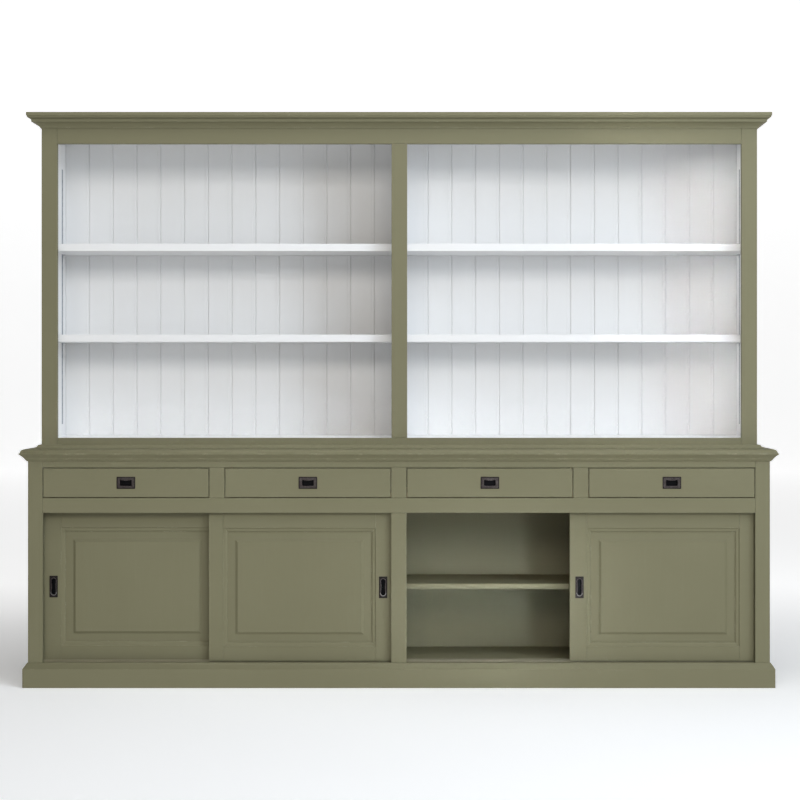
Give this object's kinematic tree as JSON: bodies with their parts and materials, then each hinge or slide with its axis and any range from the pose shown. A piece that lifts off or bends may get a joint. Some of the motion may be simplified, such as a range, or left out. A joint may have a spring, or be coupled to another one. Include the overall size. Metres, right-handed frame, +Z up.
{
  "type": "display cabinet",
  "caption": "Wide country display cabinet: open shelved hutch with boarded back and cornice, over drawers with flush pulls and sliding raised-panel doors on a plinth.",
  "frame": {"origin": "centre of the footprint's bounding box, on the floor", "axes": "+X to the cabinet's right end as seen from the front, +Y to its back, +Z up; the front faces -Y"},
  "size_m": [2.892, 0.5, 2.2],
  "materials": {
    "green_paint": "olive-green paint, satin, brushed on",
    "white_paint": "off-white paint, satin",
    "dark_bronze": "dark bronzed, worn on the rims",
    "steel": "zinc plated, dull",
    "plain_wood": "plain softwood, clear sealed",
    "waxed_wood": "hardwood, stained green and waxed"
  },
  "bodies": {
    "carcass": {"plinth_front": "green_paint", "plinth_ends": "green_paint", "plinth_bearers": "plain_wood", "base_side_left": "green_paint", "base_side_right": "green_paint", "base_divider": "green_paint", "drawer_partitions": "plain_wood", "base_floor": "green_paint", "drawer_deck": "plain_wood", "base_back": "green_paint", "base_stiles": "green_paint", "base_rails": "green_paint", "drawer_mullions": "green_paint", "base_shelves": "green_paint", "base_shelf_pins": "steel", "door_guides_upper": "green_paint", "door_tracks_lower": "waxed_wood", "drawer_guides": "plain_wood", "base_top": "green_paint", "base_top_cove": "green_paint", "hutch_side_left": "green_paint", "hutch_side_right": "green_paint", "hutch_divider": "white_paint", "hutch_floor": "white_paint", "hutch_top": "green_paint", "hutch_stiles": "green_paint", "hutch_top_rail": "green_paint", "hutch_bottom_rail": "green_paint", "cornice": "green_paint", "foot_moulding": "green_paint", "back_boards_left": "white_paint", "back_boards_right": "white_paint", "hutch_shelves": "white_paint", "shelf_standards": "steel", "shelf_clips": "steel", "joining_screws": "steel"},
    "door_1": {"door_1_frame": "green_paint", "door_1_panel": "green_paint", "door_1_pull": "dark_bronze"},
    "door_2": {"door_2_frame": "green_paint", "door_2_panel": "green_paint", "door_2_pull": "dark_bronze"},
    "door_3": {"door_3_frame": "green_paint", "door_3_panel": "green_paint", "door_3_pull": "dark_bronze"},
    "door_4": {"door_4_frame": "green_paint", "door_4_panel": "green_paint", "door_4_pull": "dark_bronze"},
    "drawer_1": {"drawer_1_front": "green_paint", "drawer_1_box": "plain_wood", "drawer_1_pull": "dark_bronze"},
    "drawer_2": {"drawer_2_front": "green_paint", "drawer_2_box": "plain_wood", "drawer_2_pull": "dark_bronze"},
    "drawer_3": {"drawer_3_front": "green_paint", "drawer_3_box": "plain_wood", "drawer_3_pull": "dark_bronze"},
    "drawer_4": {"drawer_4_front": "green_paint", "drawer_4_box": "plain_wood", "drawer_4_pull": "dark_bronze"}
  },
  "joints": [
    {"name": "door_1_slide", "type": "slide", "parent": "carcass", "child": "door_1", "axis": [1, 0, 0], "range_m": [0, 0.637]},
    {"name": "door_2_slide", "type": "slide", "parent": "carcass", "child": "door_2", "axis": [1, 0, 0], "range_m": [-0.637, 0]},
    {"name": "door_3_slide", "type": "slide", "parent": "carcass", "child": "door_3", "axis": [1, 0, 0], "range_m": [-0.63, 0.007]},
    {"name": "door_4_slide", "type": "slide", "parent": "carcass", "child": "door_4", "axis": [1, 0, 0], "range_m": [-0.637, 0]},
    {"name": "drawer_1_slide", "type": "slide", "parent": "carcass", "child": "drawer_1", "axis": [0, -1, 0], "range_m": [0, 0.33]},
    {"name": "drawer_2_slide", "type": "slide", "parent": "carcass", "child": "drawer_2", "axis": [0, -1, 0], "range_m": [0, 0.33]},
    {"name": "drawer_3_slide", "type": "slide", "parent": "carcass", "child": "drawer_3", "axis": [0, -1, 0], "range_m": [0, 0.33]},
    {"name": "drawer_4_slide", "type": "slide", "parent": "carcass", "child": "drawer_4", "axis": [0, -1, 0], "range_m": [0, 0.33]}
  ]
}
